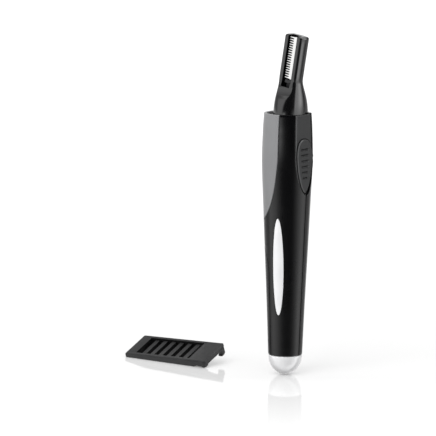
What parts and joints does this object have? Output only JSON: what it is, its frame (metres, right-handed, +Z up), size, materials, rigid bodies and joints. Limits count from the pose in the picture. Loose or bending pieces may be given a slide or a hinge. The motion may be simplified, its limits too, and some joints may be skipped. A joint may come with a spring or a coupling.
{
  "type": "beard and eyebrow trimmer",
  "caption": "Slim tapering pen-shaped trimmer with a thumb switch, a leaning head with a toothed side blade, a battery bay and a guide comb beside it.",
  "frame": {"origin": "lowest point of the domed end cap, on the barrel's axis", "axes": "+Z up along the barrel toward the head, -Y out through the thumb switch, -X out of the blade's side"},
  "size_m": [0.027, 0.0835, 0.141],
  "materials": {
    "black_gloss": "gloss black moulded plastic",
    "black_satin": "satin black moulded plastic",
    "matte_black": "fine matt moulded plastic",
    "satin_graphite": "satin dark grey finish",
    "grey_rubber": "soft-touch mid grey",
    "grey_plastic": "grey moulded plastic",
    "white_plastic": "natural white acetal",
    "pearl_silver": "pearl silver finish",
    "bright_steel": "polished stainless steel",
    "steel": "plated steel",
    "spring_steel": "bright spring steel",
    "brass": "plated brass",
    "board_green": "green solder mask",
    "cell_jacket": "plain dark printed jacket",
    "lead_red": "red insulation",
    "lead_black": "black insulation"
  },
  "bodies": {
    "trimmer": {"left_shell": "black_gloss", "right_shell": "black_gloss", "rear_grip": "grey_rubber", "end_cap": "pearl_silver", "inlay_left": "pearl_silver", "inlay_right": "pearl_silver", "switch_track": "satin_graphite", "switch_body": "black_satin", "circuit_board": "board_green", "aaa_cell": "cell_jacket", "battery_spring": "spring_steel", "negative_contact": "brass", "positive_contact": "brass", "contact_strip": "brass", "chassis": "black_satin", "motor_can": "steel", "motor_end_bell": "black_satin", "motor_terminal_left": "brass", "motor_terminal_right": "brass", "motor_cradle": "grey_rubber", "lead_negative": "lead_black", "lead_positive": "lead_red", "collar_ring": "black_satin", "head_housing": "black_gloss", "fixed_blade": "bright_steel", "blade_spring": "spring_steel"},
    "thumb_switch": {"thumb_slide": "satin_graphite", "switch_lever": "white_plastic"},
    "drive": {"motor_shaft": "steel", "drive_cam": "white_plastic"},
    "cutter": {"blade_carrier": "grey_plastic", "moving_blade": "bright_steel"},
    "door": {"battery_door": "black_gloss"},
    "comb": {"guide_comb": "matte_black"}
  },
  "joints": [
    {"name": "thumb_switch_slide", "type": "slide", "parent": "trimmer", "child": "thumb_switch", "axis": [0, 0.0253, 0.9997], "range_m": [0, 0.004]},
    {"name": "motor_spin", "type": "hinge", "parent": "trimmer", "child": "drive", "pos_m": [0, -0.0008, 0.1065], "axis": [0, 0, 1], "continuous": true},
    {"name": "blade_stroke", "type": "slide", "parent": "trimmer", "child": "cutter", "axis": [0, -0.165, 0.9863], "range_m": [-0.0005, 0.0005]},
    {"name": "battery_door_pull", "type": "slide", "parent": "trimmer", "child": "door", "axis": [0, 1, 0], "range_m": [0, 0.015]},
    {"name": "comb_lift", "type": "slide", "parent": "trimmer", "child": "comb", "axis": [0, 0, 1], "range_m": [0, 0.05]}
  ]
}
